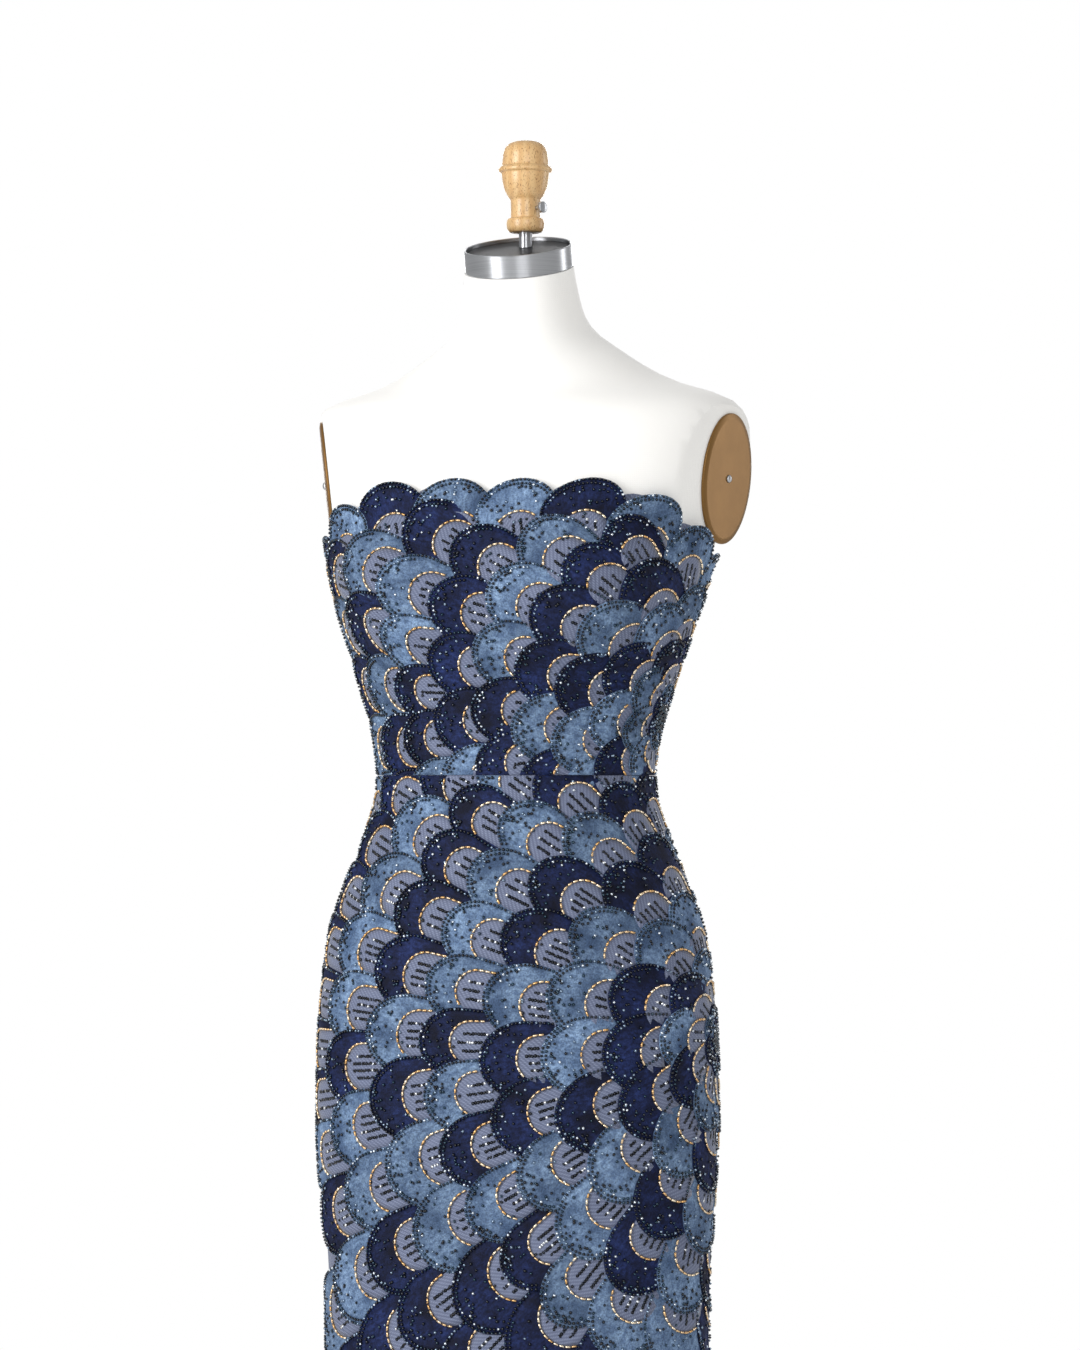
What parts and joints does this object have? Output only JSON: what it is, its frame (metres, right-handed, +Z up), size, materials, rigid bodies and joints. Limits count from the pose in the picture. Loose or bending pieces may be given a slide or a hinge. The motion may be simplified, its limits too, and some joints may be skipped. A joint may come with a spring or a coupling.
{
  "type": "mermaid evening gown on a dress form",
  "caption": "Strapless floor-length mermaid gown covered in overlapping beaded velvet petals, worn by a limbless padded dress form with a turned wooden knob and a round base.",
  "frame": {"origin": "centre of the underside of the round base, on the floor", "axes": "+Z up, -Y the gown's front, +X the wearer's left"},
  "size_m": [0.7869, 0.7668, 1.6375],
  "materials": {
    "beaded_velvet": "velvet petals in navy and dusty blue, edged with seed beads, over tulle",
    "zip_tape": "navy woven tape over a coil",
    "form_cover": "off-white cotton jersey over a padded shell",
    "arm_plate_bronze": "satin golden brown",
    "brushed_steel": "brushed",
    "dark_steel": "satin black",
    "turned_beech": "turned and lacquered",
    "black_iron": "satin black"
  },
  "bodies": {
    "gown_and_form": {"bodice_front": "beaded_velvet", "bodice_back_left": "beaded_velvet", "bodice_back_right": "beaded_velvet", "skirt_front": "beaded_velvet", "skirt_back_left": "beaded_velvet", "skirt_back_right": "beaded_velvet", "back_zip": "zip_tape", "zip_slider": "brushed_steel", "form_torso": "form_cover", "arm_plate_left": "arm_plate_bronze", "arm_plate_right": "arm_plate_bronze", "arm_screw_left": "brushed_steel", "arm_screw_right": "brushed_steel", "neck_ring": "brushed_steel", "neck_plate": "dark_steel", "finial_post": "brushed_steel", "finial_knob": "turned_beech", "thumb_screw": "brushed_steel", "stand_pole": "brushed_steel", "stand_base": "black_iron"},
    "pull_tab": {"pull_tab": "brushed_steel"}
  },
  "joints": [
    {"name": "pull_tab_swing", "type": "hinge", "parent": "gown_and_form", "child": "pull_tab", "pos_m": [0, 0.10212, 1.22748], "axis": [1, 0, 0], "range_deg": [0, 150]}
  ]
}
